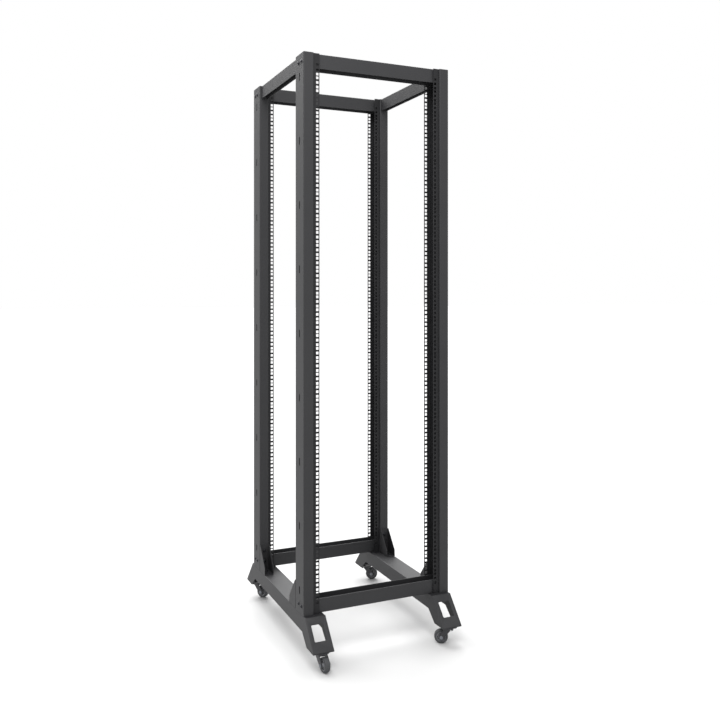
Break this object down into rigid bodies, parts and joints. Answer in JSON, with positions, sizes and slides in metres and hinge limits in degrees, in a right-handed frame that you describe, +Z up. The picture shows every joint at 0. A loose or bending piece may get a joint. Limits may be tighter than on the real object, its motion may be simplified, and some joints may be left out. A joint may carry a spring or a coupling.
{
  "type": "four post open frame rack",
  "caption": "Open frame equipment rack: perforated corner posts joined by channel beams, on sloping feet with swivel casters.",
  "frame": {"origin": "on the floor, under the centre of the bounding box", "axes": "+X to the right and +Y to the rear, seen from the front; +Z up"},
  "size_m": [0.5797, 0.7979, 2.0917],
  "materials": {
    "frame_paint": "black powder coat, fine texture, satin",
    "caster_steel": "black coated, satin",
    "axle_steel": "zinc plated",
    "wheel": "matt"
  },
  "bodies": {
    "frame": {"bottom_beam_front": "frame_paint", "bottom_beam_rear": "frame_paint", "caster_plate_front_left": "caster_steel", "caster_plate_front_right": "caster_steel", "caster_plate_rear_left": "caster_steel", "caster_plate_rear_right": "caster_steel", "foot_end_front_left": "frame_paint", "foot_end_front_right": "frame_paint", "foot_end_rear_left": "frame_paint", "foot_end_rear_right": "frame_paint", "foot_left": "frame_paint", "foot_right": "frame_paint", "post_bracket_front_left": "frame_paint", "post_bracket_front_right": "frame_paint", "post_bracket_rear_left": "frame_paint", "post_bracket_rear_right": "frame_paint", "post_front_left": "frame_paint", "post_front_right": "frame_paint", "post_rear_left": "frame_paint", "post_rear_right": "frame_paint", "rail_inner_front_left": "frame_paint", "rail_inner_front_right": "frame_paint", "rail_inner_rear_left": "frame_paint", "rail_inner_rear_right": "frame_paint", "rail_outer_front_left": "frame_paint", "rail_outer_front_right": "frame_paint", "rail_outer_rear_left": "frame_paint", "rail_outer_rear_right": "frame_paint", "top_beam_front": "frame_paint", "top_beam_left": "frame_paint", "top_beam_rear": "frame_paint", "top_beam_right": "frame_paint"},
    "caster_fork_body_front_left": {"caster_fork_front_left": "caster_steel", "caster_axle_front_left": "axle_steel"},
    "caster_wheel_body_front_left": {"caster_wheel_front_left": "wheel"},
    "caster_fork_body_front_right": {"caster_fork_front_right": "caster_steel", "caster_axle_front_right": "axle_steel"},
    "caster_wheel_body_front_right": {"caster_wheel_front_right": "wheel"},
    "caster_fork_body_rear_left": {"caster_fork_rear_left": "caster_steel", "caster_axle_rear_left": "axle_steel"},
    "caster_wheel_body_rear_left": {"caster_wheel_rear_left": "wheel"},
    "caster_fork_body_rear_right": {"caster_fork_rear_right": "caster_steel", "caster_axle_rear_right": "axle_steel"},
    "caster_wheel_body_rear_right": {"caster_wheel_rear_right": "wheel"}
  },
  "joints": [
    {"name": "swivel_front_left", "type": "hinge", "parent": "frame", "child": "caster_fork_body_front_left", "pos_m": [-0.2475, -0.358, 0.05675], "axis": [0, 0, 1], "continuous": true},
    {"name": "wheel_spin_front_left", "type": "hinge", "parent": "caster_fork_body_front_left", "child": "caster_wheel_body_front_left", "pos_m": [-0.24299, -0.3836, 0.025], "axis": [-0.9848, -0.1736, 0], "continuous": true},
    {"name": "swivel_front_right", "type": "hinge", "parent": "frame", "child": "caster_fork_body_front_right", "pos_m": [0.2475, -0.358, 0.05675], "axis": [0, 0, 1], "continuous": true},
    {"name": "wheel_spin_front_right", "type": "hinge", "parent": "caster_fork_body_front_right", "child": "caster_wheel_body_front_right", "pos_m": [0.22454, -0.34579, 0.025], "axis": [0.4695, 0.8829, 0], "continuous": true},
    {"name": "swivel_rear_left", "type": "hinge", "parent": "frame", "child": "caster_fork_body_rear_left", "pos_m": [-0.2475, 0.358, 0.05675], "axis": [0, 0, 1], "continuous": true},
    {"name": "wheel_spin_rear_left", "type": "hinge", "parent": "caster_fork_body_rear_left", "child": "caster_wheel_body_rear_left", "pos_m": [-0.23259, 0.3367, 0.025], "axis": [-0.8192, -0.5736, 0], "continuous": true},
    {"name": "swivel_rear_right", "type": "hinge", "parent": "frame", "child": "caster_fork_body_rear_right", "pos_m": [0.2475, 0.358, 0.05675], "axis": [0, 0, 1], "continuous": true},
    {"name": "wheel_spin_rear_right", "type": "hinge", "parent": "caster_fork_body_rear_right", "child": "caster_wheel_body_rear_right", "pos_m": [0.27002, 0.345, 0.025], "axis": [-0.5, -0.866, 0], "continuous": true}
  ]
}
